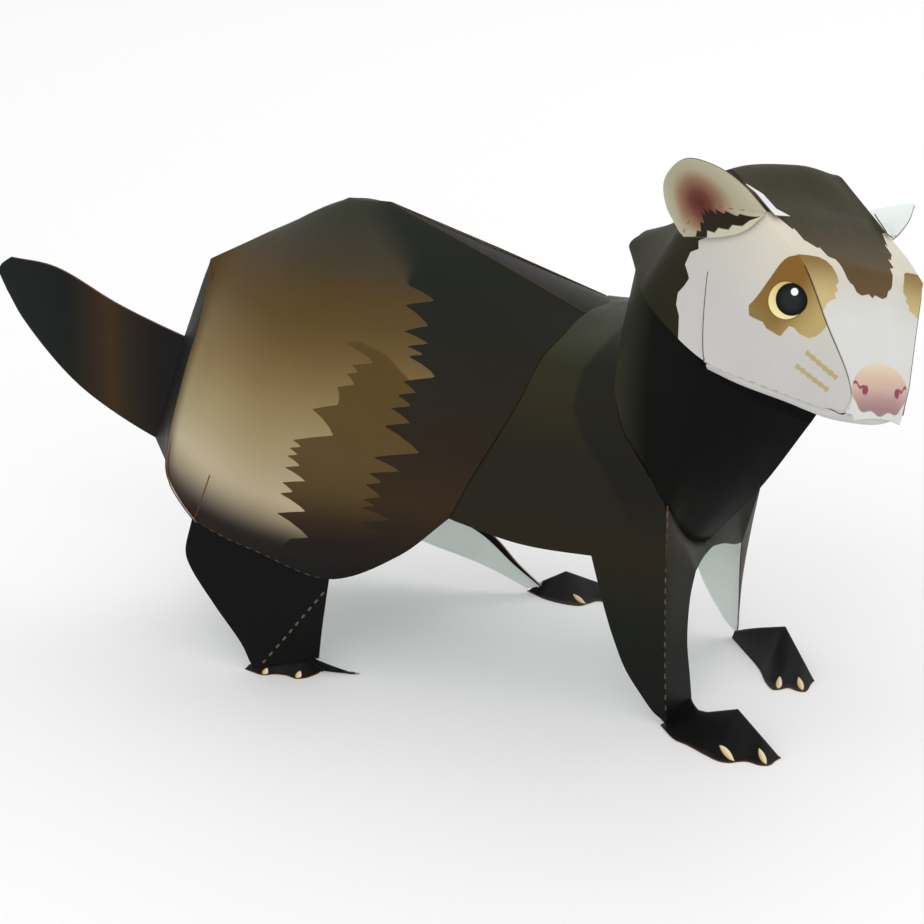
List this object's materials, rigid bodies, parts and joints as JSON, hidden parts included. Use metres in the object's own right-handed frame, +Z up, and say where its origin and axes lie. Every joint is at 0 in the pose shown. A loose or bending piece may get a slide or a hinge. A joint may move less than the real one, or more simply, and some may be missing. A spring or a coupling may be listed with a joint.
{
  "type": "papercraft ferret model",
  "caption": "Standing ferret folded from printed card, with an arched back, a turned faceted head, cupped ears, a blade tail and tent-folded feet; a still display model.",
  "frame": {"origin": "on the floor, under the middle of the whole ferret's bounding box", "axes": "+X from tail to head, +Y to the ferret's left, +Z up"},
  "size_m": [0.304, 0.1112, 0.176],
  "materials": {
    "dark_card": "satin printed card, dark sable, with a pale blue-grey back",
    "fawn_card": "satin printed card, fawn and brown patches with jagged edges",
    "face_card": "satin printed card, off-white face under a dark cap",
    "ear_card": "satin printed card, pink to pale olive"
  },
  "bodies": {
    "root": {"rear_flank_right": "fawn_card", "rear_flank_left": "fawn_card", "rump_right": "dark_card", "rump_left": "dark_card", "shoulder_right": "dark_card", "shoulder_left": "dark_card", "neck_right": "dark_card", "neck_left": "dark_card", "chest_right": "dark_card", "chest_left": "dark_card", "front_leg_right": "dark_card", "front_leg_left": "dark_card", "back_strip": "dark_card", "tail": "dark_card", "hind_leg_right": "dark_card", "hind_leg_left": "dark_card", "front_foot_right": "dark_card", "front_foot_left": "dark_card", "hind_foot_right": "dark_card", "hind_foot_left": "dark_card", "cheek_right": "face_card", "cheek_left": "face_card", "crown": "face_card", "jaw": "face_card", "ear_right": "ear_card", "ear_left": "ear_card"}
  },
  "joints": []
}
